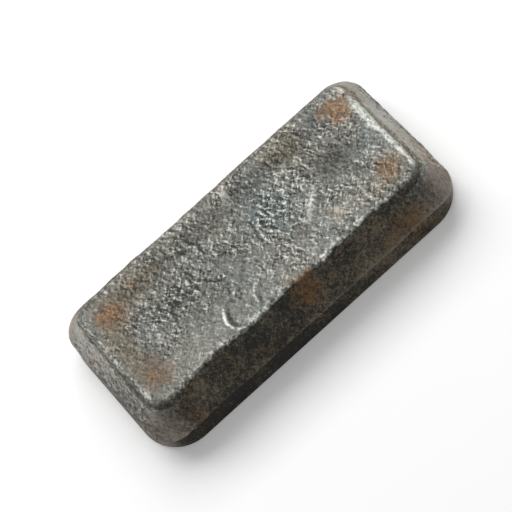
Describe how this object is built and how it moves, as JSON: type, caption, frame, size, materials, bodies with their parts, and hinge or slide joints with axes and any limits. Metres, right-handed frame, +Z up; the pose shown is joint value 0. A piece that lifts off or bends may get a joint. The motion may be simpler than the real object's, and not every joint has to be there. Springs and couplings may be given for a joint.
{
  "type": "pig iron ingot",
  "caption": "Tapered cast iron ingot with rounded corners, a rolled rim and a shallow dish in its upper face, lying on its wide flat face; stock for remelting.",
  "frame": {"origin": "middle of the wide flat face that it rests on", "axes": "+X along the length, +Y across the width, +Z up, out of the dished face"},
  "size_m": [0.2674, 0.1244, 0.052],
  "materials": {
    "iron_skin": "rough as-cast skin, dark grey with rust spots"
  },
  "bodies": {
    "root": {"ingot": "iron_skin"}
  },
  "joints": []
}
